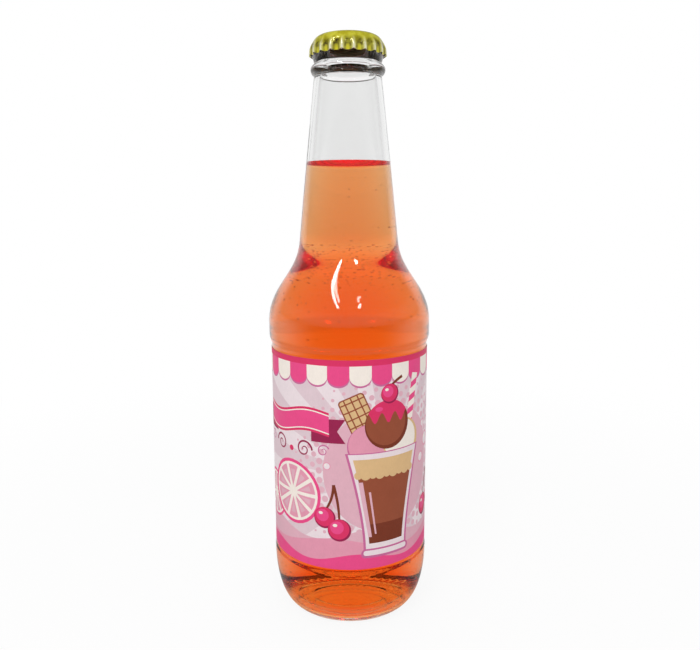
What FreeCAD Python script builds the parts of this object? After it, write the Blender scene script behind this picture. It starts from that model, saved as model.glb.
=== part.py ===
import FreeCAD, Part
import math
import os

# A sealed longneck soda bottle with its drink, label and crown, standing on its base.
# +Z is up, the origin is on the floor at the middle of the base, and the front faces -Y.
# All sizes are in millimetres.

# Base and heel of the glass
body_radius = 31.15
bearing_inset = 7.7
bearing_width = 3.2
push_up_height = 1.2
heel_height = 22.0
lower_ridge_inset = 0.5
base_thickness = 2.4
trough_radius = 21.5
trough_height = 2.4
wall = 1.72

# Label panel and the two contact ridges
panel_recess = 0.9
lower_step_height = 2.2
upper_step_height = 4.6
ridge_height = 4.0

# Shoulder and neck
shoulder_height = 31.0
neck_radius = 18.83
neck_height = 60.2
neck_bulge = 0.05
finish_wall = 2.2
throat_height = 1.6

# Finish: bead, collar, locking ring and lip
bore_radius = 8.1
bore_depth = 11.82
ring_radius = 13.2
ring_overhang = 0.8
neck_top_flare = 0.1
bead_projection = 1.4
bead_height = 4.1
collar_height = 0.4
ring_taper_height = 2.4
ring_land_height = 1.7
lip_height = 4.42
lip_inner_round = 0.7
lip_land_width = 0.85

# Curve fullness, as shares of the stretch that each curve spans
push_up_fullness = 0.5
heel_fullness = 0.55
heel_lift = 0.57
shoulder_fullness = 0.46
shoulder_sweep = 0.42
step_ease = 0.5
lip_fullness = 0.55
throat_ease = 0.45
trough_sweep = 0.75
trough_lift = 0.75

# Drink
headspace = 45.4
liquid_gap = 0.05
meniscus_rise = 1.8
meniscus_run = 3.5

# Label and its glue
label_height = 79.4
label_width = 152.4
label_margin = 0.6
label_thickness = 0.1
glue_thickness = 0.05
glue_gap = 0.01
glue_inset = 1.0

# Crown and its liner
tin_thickness = 0.24
crown_clearance = 0.15
crown_height = 7.2
flute_count = 21
flute_depth = 0.81
flute_height = 5.4
flute_sharpness = 1.6
points_per_flute = 8
liner_thickness = 0.64
liner_centre_thickness = 0.3
liner_recess_radius = 7.6
liner_relief = 0.12
liner_slack = 0.05
liner_wrap = 0.6

# Heights of the glass, from the floor up
panel_base = heel_height + lower_step_height
label_base = panel_base + label_margin
panel_top = label_base + label_height + label_margin
ridge_base = panel_top + upper_step_height
ridge_top = ridge_base + ridge_height
neck_base = ridge_top + shoulder_height
neck_top = neck_base + neck_height
bead_top = neck_top + bead_height
collar_top = bead_top + collar_height
ring_base = collar_top + ring_taper_height
ring_top = ring_base + ring_land_height
lip_top = ring_top + lip_height
bore_base = lip_top - bore_depth
throat_base = bore_base - throat_height
fill_level = lip_top - headspace

# Radii that follow from the sizes above
lower_ridge_radius = body_radius - lower_ridge_inset
panel_radius = body_radius - panel_recess
bearing_radius = body_radius - bearing_inset
collar_radius = ring_radius - ring_overhang
neck_top_radius = collar_radius + neck_top_flare
bead_radius = collar_radius + bead_projection
lip_land_inner = bore_radius + lip_inner_round
lip_land_outer = lip_land_inner + lip_land_width
glue_radius = panel_radius + glue_gap
paper_radius = glue_radius + glue_thickness + glue_gap

# Crown heights, from the lip up
crown_ceiling = lip_top + liner_thickness
crown_top = crown_ceiling + tin_thickness
skirt_edge = crown_top - crown_height

UP = FreeCAD.Vector(0, 0, 1)
ORIGIN = FreeCAD.Vector(0, 0, 0)
FULL_TURN = 360.0
FRONT_ANGLE = -90.0


def at(radius, height):
    """A point of a half outline, which lies in the XZ plane."""
    return FreeCAD.Vector(radius, 0, height)


def line(start, end):
    return Part.LineSegment(start, end).toShape()


def bezier(poles, first=0.0, last=1.0):
    curve = Part.BezierCurve()
    curve.setPoles(poles)
    if first > 0.0 or last < 1.0:
        curve.segment(first, last)
    return curve


def turned(edges):
    """The solid that a closed half outline sweeps round the Z axis."""
    outline = Part.Wire(Part.__sortEdges__(edges))
    return Part.Face(outline).revolve(ORIGIN, UP, FULL_TURN)


def end_points(edge):
    return edge.valueAt(edge.FirstParameter), edge.valueAt(edge.LastParameter)


def step_poles(low, high):
    """An S-shaped step between two upright walls."""
    rise = (high.z - low.z) * step_ease
    return [low, low + UP * rise, high - UP * rise, high]


def neck_poles(low_inset, high_inset):
    """The neck's gentle swell, moved in from the outer face by an inset at each end."""
    low = neck_radius - low_inset
    high = neck_top_radius - high_inset
    middle = at((low + high) / 2 + 2 * neck_bulge, (neck_base + neck_top) / 2)
    return [at(low, neck_base), middle, at(high, neck_top)]


def shoulder_poles(side_radius, neck):
    """The shoulder, upright at the body and in line with the neck at its top."""
    top = neck[0]
    lean = (neck[1].x - top.x) / (neck[1].z - top.z)
    sweep = shoulder_sweep * shoulder_height
    return [
        at(side_radius, ridge_top),
        at(side_radius, ridge_top + shoulder_fullness * shoulder_height),
        at(top.x - lean * sweep, neck_base - sweep),
        top,
    ]


def lip_poles():
    """The lip's outer round, from the locking ring up to the land."""
    return corner_poles(ring_radius, ring_top, lip_land_outer, lip_top)


def ceiling_poles():
    """The crown's inner corner, which follows the lip's round with room to lift off."""
    return corner_poles(ring_radius + crown_clearance, ring_top, lip_land_outer, crown_ceiling)


def corner_poles(side_radius, side_height, top_radius, top_height):
    reach = (side_radius - top_radius) * lip_fullness
    rise = (top_height - side_height) * lip_fullness
    return [
        at(side_radius, side_height),
        at(side_radius, side_height + rise),
        at(top_radius + reach, top_height),
        at(top_radius, top_height),
    ]


def push_up_poles(middle_height, edge_radius, edge_height):
    """A pushed-up middle that falls in an S to a level edge."""
    turn = push_up_fullness * edge_radius
    return [
        at(0, middle_height),
        at(turn, middle_height),
        at(turn, edge_height),
        at(edge_radius, edge_height),
    ]


def outer_outline():
    """The bottle's outer face, from the middle of the pushed-up base to the lip's land."""
    bearing_inner = bearing_radius - bearing_width
    heel_run = lower_ridge_radius - bearing_radius
    heel_poles = [
        at(bearing_radius, 0),
        at(bearing_radius + heel_fullness * heel_run, 0),
        at(lower_ridge_radius, heel_height - heel_lift * heel_height),
        at(lower_ridge_radius, heel_height),
    ]
    lower_step = step_poles(at(lower_ridge_radius, heel_height), at(panel_radius, panel_base))
    upper_step = step_poles(at(panel_radius, panel_top), at(body_radius, ridge_base))
    bead_middle = at(bead_radius, (neck_top + bead_top) / 2)
    return [
        bezier(push_up_poles(push_up_height, bearing_inner, 0)).toShape(),
        line(at(bearing_inner, 0), at(bearing_radius, 0)),
        bezier(heel_poles).toShape(),
        bezier(lower_step).toShape(),
        line(at(panel_radius, panel_base), at(panel_radius, panel_top)),
        bezier(upper_step).toShape(),
        line(at(body_radius, ridge_base), at(body_radius, ridge_top)),
        bezier(shoulder_poles(body_radius, neck_poles(0, 0))).toShape(),
        bezier(neck_poles(0, 0)).toShape(),
        Part.Arc(at(neck_top_radius, neck_top), bead_middle, at(collar_radius, bead_top)).toShape(),
        line(at(collar_radius, bead_top), at(collar_radius, collar_top)),
        line(at(collar_radius, collar_top), at(ring_radius, ring_base)),
        line(at(ring_radius, ring_base), at(ring_radius, ring_top)),
        bezier(lip_poles()).toShape(),
        line(at(lip_land_outer, lip_top), at(lip_land_inner, lip_top)),
    ]


def inner_neck_poles(gap):
    """The neck's inner face, whose wall thickens towards the finish, a gap inside the glass."""
    return neck_poles(wall + gap, finish_wall + gap)


def throat_poles(low, high, slope):
    """The throat, which leaves the neck on its slope and narrows to the bore's lower edge."""
    rise = (high.z - low.z) * throat_ease
    return [low, at(low.x + slope * rise, low.z + rise), at(high.x, high.z - rise), high]


def cavity_outline(gap):
    """The cavity's face, from the middle of its floor to the bore, a gap inside the glass."""
    inner_neck = inner_neck_poles(gap)
    side = panel_radius - wall - gap
    floor_middle = push_up_height + base_thickness + gap
    trough = trough_height + gap
    corner = [
        at(trough_radius, trough),
        at(trough_radius + trough_sweep * (side - trough_radius), trough),
        at(side, heel_height - trough_lift * (heel_height - trough)),
        at(side, heel_height),
    ]
    throat_share = (throat_base - neck_base) / neck_height
    neck = bezier(inner_neck, 0.0, throat_share).toShape()
    throat_start = end_points(neck)[1]
    throat_end = at(bore_radius - gap, bore_base)
    slope = (inner_neck[2].x - inner_neck[0].x) / neck_height
    throat = throat_poles(throat_start, throat_end, slope)
    return [
        bezier(push_up_poles(floor_middle, trough_radius, trough)).toShape(),
        bezier(corner).toShape(),
        line(at(side, heel_height), at(side, ridge_top)),
        bezier(shoulder_poles(side, inner_neck)).toShape(),
        neck,
        bezier(throat).toShape(),
    ]


def glass_bottle():
    rim_round = lip_inner_round * (1 - math.sqrt(0.5))
    rim_middle = at(bore_radius + rim_round, lip_top - rim_round)
    rim_low = at(bore_radius, lip_top - lip_inner_round)
    cavity = cavity_outline(0)
    floor_middle = at(0, push_up_height + base_thickness)
    edges = outer_outline() + cavity
    edges.append(Part.Arc(at(lip_land_inner, lip_top), rim_middle, rim_low).toShape())
    edges.append(line(rim_low, at(bore_radius, bore_base)))
    edges.append(line(floor_middle, at(0, push_up_height)))
    return turned(edges)


def soda():
    """The drink fills the cavity up to its level, with a meniscus against the glass."""
    cavity = cavity_outline(liquid_gap)
    bottom = end_points(cavity[0])[0]
    mouth = end_points(cavity[-1])[1]
    cavity.append(line(mouth, at(0, mouth.z)))
    cavity.append(line(at(0, mouth.z), bottom))
    share = (fill_level - neck_base) / neck_height
    wall_radius = bezier(inner_neck_poles(liquid_gap)).value(share).x
    flat_radius = wall_radius - meniscus_run
    climb = [
        at(flat_radius, fill_level),
        at(flat_radius + meniscus_run * step_ease, fill_level),
        at(wall_radius, fill_level + meniscus_rise),
    ]
    below = [
        line(at(0, 0), at(body_radius, 0)),
        line(at(body_radius, 0), at(body_radius, fill_level + meniscus_rise)),
        line(at(body_radius, fill_level + meniscus_rise), climb[-1]),
        bezier(climb).toShape(),
        line(climb[0], at(0, fill_level)),
        line(at(0, fill_level), at(0, 0)),
    ]
    return turned(cavity).common(turned(below))


def polar(radius, angle):
    turn = math.radians(angle)
    return FreeCAD.Vector(radius * math.cos(turn), radius * math.sin(turn), 0)


def arc_about_axis(radius, first, last):
    return Part.Arc(polar(radius, first), polar(radius, (first + last) / 2), polar(radius, last)).toShape()


def wrapped_sheet(inner, thickness, inset):
    """A sheet bent round the front of the panel, smaller than the label by an inset at each edge."""
    half_turn = math.degrees((label_width / 2 - inset) / paper_radius)
    first = FRONT_ANGLE - half_turn
    last = FRONT_ANGLE + half_turn
    outer = inner + thickness
    edges = [arc_about_axis(inner, first, last), arc_about_axis(outer, first, last)]
    for angle in (first, last):
        edges.append(line(polar(inner, angle), polar(outer, angle)))
    sheet = Part.Face(Part.Wire(Part.__sortEdges__(edges))).extrude(UP * (label_height - 2 * inset))
    sheet.translate(UP * (label_base + inset))
    return sheet


def label():
    return wrapped_sheet(paper_radius, label_thickness, 0)


def label_adhesive():
    """The film of glue, which stops short of the paper's edges."""
    return wrapped_sheet(glue_radius, glue_thickness, glue_inset)


def fluted_ring(radius, height):
    """One closed section of the crown: round at its top, fluted towards its skirt's edge."""
    share = min(1.0, (height - skirt_edge) / flute_height)
    depth = flute_depth * (1 - max(0.0, share)) ** 2 * (1 + 2 * max(0.0, share))
    pitch = 2 * math.pi / flute_count
    first_ridge = -math.pi / 2 + pitch / 2
    points = []
    for step in range(flute_count * points_per_flute):
        turn = step * pitch / points_per_flute
        ridge = ((1 + math.cos(flute_count * turn)) / 2) ** flute_sharpness
        reach = radius + depth * ridge
        angle = first_ridge + turn
        points.append(FreeCAD.Vector(reach * math.cos(angle), reach * math.sin(angle), height))
    curve = Part.BSplineCurve()
    curve.interpolate(points, PeriodicFlag=True)
    return Part.Wire([curve.toShape()])


def crown_form(offset):
    """The crown's inner form, or its outer form when moved out by the tinplate's thickness."""
    side = ring_radius + crown_clearance + offset
    skirt_steps = 2
    corner_steps = 7
    sections = []
    for step in range(skirt_steps):
        height = skirt_edge + (ring_top - skirt_edge) * step / skirt_steps
        sections.append(fluted_ring(side, height))
    corner = bezier(ceiling_poles())
    for step in range(corner_steps + 1):
        share = step / corner_steps
        along = corner.tangent(share)[0]
        place = corner.value(share) + FreeCAD.Vector(along.z, 0, -along.x) * offset
        sections.append(fluted_ring(place.x, place.z))
    return Part.makeLoft(sections, True, False)


def crown_shell():
    return crown_form(tin_thickness).cut(crown_form(0))


def crown_liner():
    """A moulded seal: a thin middle, a thick ring on the lip's land and a skirt round its edge."""
    recess = crown_ceiling - liner_centre_thickness
    seal_inner = liner_recess_radius + (recess - lip_top)
    under = [pole + UP * liner_relief for pole in lip_poles()]
    over = [pole - UP * liner_slack for pole in ceiling_poles()]
    under_edge = bezier(under, liner_wrap, 1.0).toShape()
    over_edge = bezier(over, liner_wrap, 1.0).toShape()
    under_rim, under_land = end_points(under_edge)
    over_rim, over_flat = end_points(over_edge)
    return turned([
        line(at(0, recess), at(liner_recess_radius, recess)),
        line(at(liner_recess_radius, recess), at(seal_inner, lip_top)),
        line(at(seal_inner, lip_top), at(lip_land_outer, lip_top)),
        line(at(lip_land_outer, lip_top), under_land),
        under_edge,
        line(under_rim, over_rim),
        over_edge,
        line(over_flat, at(lip_land_outer, crown_ceiling)),
        line(at(lip_land_outer, crown_ceiling), at(0, crown_ceiling)),
        line(at(0, crown_ceiling), at(0, recess)),
    ])


def main():
    os.makedirs("parts", exist_ok=True)
    makers = (glass_bottle, soda, label, label_adhesive, crown_shell, crown_liner)
    for maker in makers:
        shape = maker()
        shape.exportStep("parts/" + maker.__name__ + ".step")
        print(maker.__name__, "volume", round(shape.Volume, 1), "mm3, valid", shape.isValid())


main()
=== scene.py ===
# Looks of a sealed glass soda bottle: its glass, drink, paper label and crown, in the frame's metres.
import math
import random

import bmesh
import bpy
import numpy as np
from mathutils import Matrix, Vector
from mathutils.geometry import delaunay_2d_cdt


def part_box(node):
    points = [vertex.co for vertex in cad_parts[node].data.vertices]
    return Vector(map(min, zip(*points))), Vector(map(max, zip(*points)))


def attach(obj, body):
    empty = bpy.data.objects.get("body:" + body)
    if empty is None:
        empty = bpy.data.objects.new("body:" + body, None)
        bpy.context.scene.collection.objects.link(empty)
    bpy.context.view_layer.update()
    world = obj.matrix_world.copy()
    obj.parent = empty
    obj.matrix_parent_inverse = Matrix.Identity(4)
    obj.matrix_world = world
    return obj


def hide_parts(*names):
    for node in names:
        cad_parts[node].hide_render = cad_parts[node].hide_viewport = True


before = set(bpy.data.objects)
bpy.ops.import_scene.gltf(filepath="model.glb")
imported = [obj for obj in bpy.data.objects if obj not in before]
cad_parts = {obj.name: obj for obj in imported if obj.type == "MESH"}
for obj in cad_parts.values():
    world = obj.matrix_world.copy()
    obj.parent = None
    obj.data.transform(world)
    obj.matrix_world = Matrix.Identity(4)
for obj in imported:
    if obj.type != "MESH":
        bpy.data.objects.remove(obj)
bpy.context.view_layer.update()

# Outlines are worked out in millimetres as (radius, height) and turned into metres when a mesh is made.
MM = 0.001

# Base, heel and label panel of the glass
BODY_RADIUS = 31.15
BEARING_RADIUS = 23.45
BEARING_INNER = 20.25
PUSH_UP = 1.2
PUSH_UP_FULLNESS = 0.5
HEEL_HEIGHT = 22.0
LOWER_RIDGE_RADIUS = 30.65
PANEL_RADIUS = 30.25
WALL = 1.72
FINISH_WALL = 2.2
BASE_THICKNESS = 2.4
TROUGH_RADIUS = 21.5
TROUGH_HEIGHT = 2.4

# Heights up the glass
PANEL_BASE = 24.2
PANEL_TOP = 104.8
RIDGE_BASE = 109.4
RIDGE_TOP = 113.4
NECK_BASE = 144.4
NECK_TOP = 204.6
BEAD_TOP = 208.7
COLLAR_TOP = 209.1
RING_BASE = 211.5
RING_TOP = 213.2
THROAT_BASE = 204.2
BORE_BASE = 205.8
LIP_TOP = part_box("glass_bottle")[1].z / MM

# Neck and finish radii
NECK_RADIUS = 18.83
NECK_TOP_RADIUS = 12.5
NECK_BULGE = 0.05
BEAD_RADIUS = 13.8
COLLAR_RADIUS = 12.4
RING_RADIUS = 13.2
BORE_RADIUS = 8.1
LIP_LAND_INNER = 8.8
LIP_LAND_OUTER = 9.65

# Fullness of the curves, as shares of the stretch that each one spans
HEEL_FULLNESS = 0.55
HEEL_LIFT = 0.57
TROUGH_LIFT = 0.75
SHOULDER_FULLNESS = 0.46
SHOULDER_SWEEP = 0.42
STEP_EASE = 0.5
LIP_FULLNESS = 0.55
THROAT_EASE = 0.45
TROUGH_SWEEP = 0.75

# Moulded detail of the glass
FLOOR_RINGS = (10.7, 14.9)
FLOOR_RING_HEIGHT = 0.4
FLOOR_RING_WIDTH = 0.4
KNURL_COUNT = 80
KNURL_DEPTH = 0.3
SEAM_HEIGHT = 0.06
SEAM_ANGLE = math.radians(8)
# A seam runs where the glass lies past these radii, above and below the shoulder's foot
UPPER_SEAM_FROM = 12.39
LOWER_SEAM_FROM = 30.55
# How near the floor the knurled ring's points lie
GROUND_REACH = 0.02

# Drink
MENISCUS_RISE = 3.1
MENISCUS_RUN = 8.0
FILL_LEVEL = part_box("soda")[1].z / MM - MENISCUS_RISE
WETTING = 0.1

# Label and glue
LABEL_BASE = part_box("label")[0].z / MM
LABEL_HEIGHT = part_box("label")[1].z / MM - LABEL_BASE
PAPER_RADIUS = 30.32
PAPER = 0.1
GLUE_RADIUS = 30.26
GLUE = 0.05
LABEL_WIDTH = 152.4
GLUE_INSET = 1.0

# Crown and liner
CROWN_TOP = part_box("crown_shell")[1].z / MM
SKIRT_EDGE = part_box("crown_shell")[0].z / MM
TIN = 0.24
CROWN_CEILING = CROWN_TOP - TIN
CROWN_CLEARANCE = 0.15
FLUTES = 21
FLUTE_DEPTH = 0.81
FLUTE_HEIGHT = 5.4
FLUTE_SHARPNESS = 2.4
FLUTE_HOLD = 0.2
# How high above the skirt's edge the painted highlight low in each valley fades out, and how far across
# the valley it reaches
GLINT_HEIGHT = (0.8, 2.4)
GLINT_REACH = 0.22
# How high above the skirt's edge the painted shade in the valleys fades out
SHADED_HOLLOW_HEIGHT = (3.4, 5.2)
# How narrow the worn band along each ridge is, which is partly a painted highlight
WEAR_AND_HIGHLIGHT_SHARPNESS = 3
# How far across each valley the painted shade spreads
SHADED_HOLLOW_SHARPNESS = 1.2
RIDGE_LIFT = 0.45
RIDGE_LIFT_REACH = 2.5
LINER_RECESS_RADIUS = 7.2
LINER_CENTRE = 0.3
LINER_PRESS = 0.1
LINER_LIP = 7.7
LINER_SLACK = 0.05
LINER_WRAP = 0.6

# How finely outlines are followed
FINE_STEP = 0.08
ROUNDING = 0.24
LONGEST_STEP = 1.5
LARGEST_TURN = 0.11
PUSH_UP_STEPS = 300
SODA_ROUNDING = 0.16
CROWN_ROUNDING = 0.1
CROWN_STEP = 0.5
LINER_ROUNDING = 0.08
LINER_STEP = 0.6
GLASS_SEGMENTS = 240
CROWN_SEGMENTS = FLUTES * 16


# Outlines

def bezier(poles, first=0.0, last=1.0, count=80):
    """Points along a stretch of a Bezier curve."""
    poles = np.array(poles, float)
    degree = len(poles) - 1
    share = np.linspace(first, last, count + 1)[:, None]
    terms = []
    for k in range(degree + 1):
        terms.append(math.comb(degree, k) * (1 - share) ** (degree - k) * share ** k * poles[k])
    return sum(terms)


def around(x, y, reach, turn, squash=1.0):
    """The point at a reach and an angle from a centre, on a circle or a squashed one."""
    return (x + reach * math.cos(turn), y + reach * squash * math.sin(turn))


def arc_through(start, middle, end, count=40):
    """Points along the circle through three points."""
    (ax, ay), (bx, by), (cx, cy) = start, middle, end
    scale = 2 * (ax * (by - cy) + bx * (cy - ay) + cx * (ay - by))
    a2, b2, c2 = ax * ax + ay * ay, bx * bx + by * by, cx * cx + cy * cy
    x = (a2 * (by - cy) + b2 * (cy - ay) + c2 * (ay - by)) / scale
    y = (a2 * (cx - bx) + b2 * (ax - cx) + c2 * (bx - ax)) / scale
    radius = math.hypot(ax - x, ay - y)
    angles = np.unwrap([math.atan2(p[1] - y, p[0] - x) for p in (start, middle, end)])
    turns = np.linspace(angles[0], angles[2], count + 1)
    return np.column_stack([x + radius * np.cos(turns), y + radius * np.sin(turns)])


def step_between(low, high):
    """An eased step from one upright face to another."""
    rise = (high[1] - low[1]) * STEP_EASE
    return bezier([low, (low[0], low[1] + rise), (high[0], high[1] - rise), high])


def neck_poles(low_inset, high_inset):
    """The neck's faint bulge, set in from its outside by so much at each end."""
    low = NECK_RADIUS - low_inset
    high = NECK_TOP_RADIUS - high_inset
    middle = ((low + high) / 2 + 2 * NECK_BULGE, (NECK_BASE + NECK_TOP) / 2)
    return [(low, NECK_BASE), middle, (high, NECK_TOP)]


def shoulder(side, neck):
    """The shoulder, upright at the body and in line with the neck at its top."""
    height = NECK_BASE - RIDGE_TOP
    (top, _), (next_radius, next_height) = neck[:2]
    lean = (next_radius - top) / (next_height - NECK_BASE)
    sweep = SHOULDER_SWEEP * height
    return bezier([
        (side, RIDGE_TOP),
        (side, RIDGE_TOP + SHOULDER_FULLNESS * height),
        (top - lean * sweep, NECK_BASE - sweep),
        (top, NECK_BASE),
    ])


def corner_poles(side, side_height, top, top_height):
    """The round of the lip, or of the crown above it."""
    reach = (side - top) * LIP_FULLNESS
    rise = (top_height - side_height) * LIP_FULLNESS
    return [
        (side, side_height),
        (side, side_height + rise),
        (top + reach, top_height),
        (top, top_height),
    ]


LIP_POLES = corner_poles(RING_RADIUS, RING_TOP, LIP_LAND_OUTER, LIP_TOP)
CEILING_POLES = corner_poles(RING_RADIUS + CROWN_CLEARANCE, RING_TOP, LIP_LAND_OUTER, CROWN_CEILING)


def push_up(middle, edge_radius, edge_height):
    """A pushed-up middle that falls in an S to a level edge."""
    turn = PUSH_UP_FULLNESS * edge_radius
    poles = [(0, middle), (turn, middle), (turn, edge_height), (edge_radius, edge_height)]
    return bezier(poles, count=PUSH_UP_STEPS)


def cavity_floor(middle, edge):
    """The floor of the cavity, with the two fine rings that blowing leaves there."""
    points = push_up(middle, TROUGH_RADIUS, edge)
    for ring in FLOOR_RINGS:
        points[:, 1] += FLOOR_RING_HEIGHT * np.exp(-((points[:, 0] - ring) / FLOOR_RING_WIDTH) ** 2)
    return points


def outer_face():
    """The glass from the middle of its base up to the lip's land."""
    heel_run = LOWER_RIDGE_RADIUS - BEARING_RADIUS
    heel = bezier([
        (BEARING_RADIUS, 0),
        (BEARING_RADIUS + HEEL_FULLNESS * heel_run, 0),
        (LOWER_RIDGE_RADIUS, HEEL_HEIGHT - HEEL_LIFT * HEEL_HEIGHT),
        (LOWER_RIDGE_RADIUS, HEEL_HEIGHT),
    ])
    bead_middle = (BEAD_RADIUS, (NECK_TOP + BEAD_TOP) / 2)
    return [
        push_up(PUSH_UP, BEARING_INNER, 0),
        [(BEARING_INNER, 0), (BEARING_RADIUS, 0)],
        heel,
        step_between((LOWER_RIDGE_RADIUS, HEEL_HEIGHT), (PANEL_RADIUS, PANEL_BASE)),
        step_between((PANEL_RADIUS, PANEL_TOP), (BODY_RADIUS, RIDGE_BASE)),
        shoulder(BODY_RADIUS, neck_poles(0, 0)),
        bezier(neck_poles(0, 0)),
        arc_through((NECK_TOP_RADIUS, NECK_TOP), bead_middle, (COLLAR_RADIUS, BEAD_TOP)),
        [(COLLAR_RADIUS, COLLAR_TOP), (RING_RADIUS, RING_BASE)],
        bezier(LIP_POLES),
        [(LIP_LAND_INNER, LIP_TOP)],
    ]


def cavity_face(gap):
    """The cavity from the middle of its floor up to the bore, a gap inside the glass."""
    side = PANEL_RADIUS - WALL - gap
    middle = PUSH_UP + BASE_THICKNESS + gap
    edge = TROUGH_HEIGHT + gap
    corner = bezier([
        (TROUGH_RADIUS, edge),
        (TROUGH_RADIUS + TROUGH_SWEEP * (side - TROUGH_RADIUS), edge),
        (side, HEEL_HEIGHT - TROUGH_LIFT * (HEEL_HEIGHT - edge)),
        (side, HEEL_HEIGHT),
    ])
    poles = neck_poles(WALL + gap, FINISH_WALL + gap)
    neck = bezier(poles, last=(THROAT_BASE - NECK_BASE) / (NECK_TOP - NECK_BASE))
    rise = (BORE_BASE - THROAT_BASE) * THROAT_EASE
    slope = (poles[2][0] - poles[0][0]) / (NECK_TOP - NECK_BASE)
    start = neck[-1]
    bore = BORE_RADIUS - gap
    throat = bezier([
        start,
        (start[0] + slope * rise, start[1] + rise),
        (bore, BORE_BASE - rise),
        (bore, BORE_BASE),
    ])
    return [cavity_floor(middle, edge), corner, shoulder(side, poles), neck, throat]


def joined(stretches):
    return np.vstack([np.array(s, float) for s in stretches])


def followed(points, rounding=ROUNDING, longest=LONGEST_STEP, turn=LARGEST_TURN):
    """An outline with its corners eased, and its points close together only where it bends."""
    runs = np.linalg.norm(np.diff(points, axis=0), axis=1)
    along = np.concatenate([[0], np.cumsum(runs)])
    places = np.linspace(0, along[-1], int(along[-1] / FINE_STEP) + 1)
    fine = np.column_stack([np.interp(places, along, points[:, k]) for k in (0, 1)])
    reach = max(1, round(rounding / FINE_STEP))
    window = np.hanning(2 * reach + 3)[1:-1]
    window /= window.sum()
    eased = fine.copy()
    for k in (0, 1):
        eased[reach:-reach, k] = np.convolve(fine[:, k], window, mode="valid")
    steps = np.diff(eased, axis=0)
    headings = np.unwrap(np.arctan2(steps[:, 1], steps[:, 0]))
    bends = np.abs(np.diff(headings, prepend=headings[0]))
    spent = np.cumsum(np.linalg.norm(steps, axis=1) / longest + bends / turn)
    spent = np.concatenate([[0], spent])
    stops = np.linspace(0, spent[-1], math.ceil(spent[-1]) + 1)
    return np.column_stack([np.interp(stops, spent, eased[:, k]) for k in (0, 1)])


# Meshes

def lathe(outline, segments, bend=None):
    """Vertices and faces of an outline that starts and ends on the axis, turned round it."""
    rings = outline[1:-1]
    turns = np.linspace(0, 2 * math.pi, segments, endpoint=False)[None, :]
    radius = np.repeat(rings[:, :1], segments, axis=1)
    height = np.repeat(rings[:, 1:], segments, axis=1)
    if bend:
        radius, height = bend(radius, height, turns)
    points = np.stack([radius * np.cos(turns), radius * np.sin(turns), height], axis=-1).reshape(-1, 3)
    low, high = len(points), len(points) + 1
    points = np.vstack([points, [[0, 0, outline[0][1]], [0, 0, outline[-1][1]]]])
    here = np.arange(segments)
    after = (here + 1) % segments
    starts = np.arange(len(rings) - 1)[:, None] * segments
    ends = starts + segments
    quads = np.stack([starts + here, starts + after, ends + after, ends + here], -1)
    faces = quads.reshape(-1, 4).tolist()
    last = (len(rings) - 1) * segments
    for k in range(segments):
        faces.append([low, int(after[k]), int(here[k])])
        faces.append([high, last + int(here[k]), last + int(after[k])])
    return points.tolist(), faces


def slab(first, last, inner, outer, low, high, steps):
    """A closed curved slab about the axis, between two angles."""
    points = []
    for turn in np.linspace(first, last, steps + 1):
        for radius, height in ((inner, low), (outer, low), (outer, high), (inner, high)):
            points.append((radius * math.cos(turn), radius * math.sin(turn), height))
    faces = [[0, 1, 2, 3], [4 * steps + 3, 4 * steps + 2, 4 * steps + 1, 4 * steps]]
    for step in range(steps):
        for side in range(4):
            a, b = 4 * step + side, 4 * step + (side + 1) % 4
            faces.append([a, a + 4, b + 4, b])
    return points, faces


def add_piece(name, points, faces, material, body, node):
    """A smooth mesh object in metres that rides on a body and stands for a node."""
    mesh = bpy.data.meshes.new(name)
    mesh.from_pydata([Vector(p) * MM for p in points], [], faces)
    mesh.materials.append(material)
    mesh.polygons.foreach_set("use_smooth", [True] * len(mesh.polygons))
    mesh.update()
    piece = bpy.data.objects.new(name, mesh)
    bpy.context.scene.collection.objects.link(piece)
    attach(piece, body)
    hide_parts(node)
    return piece


# Materials

def srgb(red, green, blue):
    """A colour given as it looks on screen, 0 to 255, as the linear numbers that a shader takes."""
    linear = []
    for value in (red, green, blue):
        share = value / 255
        linear.append(share / 12.92 if share <= 0.04045 else ((share + 0.055) / 1.055) ** 2.4)
    return (*linear, 1.0)


def feed(tree, socket, value):
    """Links another socket to this one, or sets it to a plain value."""
    if isinstance(value, bpy.types.NodeSocket):
        tree.links.new(value, socket)
    else:
        socket.default_value = value


def calculated(tree, operation, first, second):
    """What an operation makes of two numbers, either of which may be a socket."""
    node = tree.nodes.new("ShaderNodeMath")
    node.operation = operation
    for socket, value in zip(node.inputs, (first, second)):
        feed(tree, socket, value)
    return node.outputs["Value"]


def ranged(tree, value, source, target, smooth="SMOOTHSTEP"):
    """A number carried from one range to another, and held at the ends."""
    node = tree.nodes.new("ShaderNodeMapRange")
    node.interpolation_type = smooth
    for name, level in zip(("From Min", "From Max", "To Min", "To Max"), (*source, *target)):
        node.inputs[name].default_value = level
    tree.links.new(value, node.inputs["Value"])
    return node.outputs["Result"]


def mixed(tree, share, first, second):
    """Between two numbers, either of which may be a socket."""
    node = tree.nodes.new("ShaderNodeMix")
    for socket, value in zip((node.inputs[0], *node.inputs[2:4]), (share, first, second)):
        feed(tree, socket, value)
    return node.outputs[0]


def mixed_colours(tree, share, first, second, blend="MIX"):
    """Between two colours, or one laid on the other, and any of these may be a socket."""
    node = tree.nodes.new("ShaderNodeMix")
    node.data_type = "RGBA"
    node.blend_type = blend
    for name, value in (("Factor_Float", share), ("A_Color", first), ("B_Color", second)):
        feed(tree, next(s for s in node.inputs if s.identifier == name), value)
    return next(s for s in node.outputs if s.identifier == "Result_Color")


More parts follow.
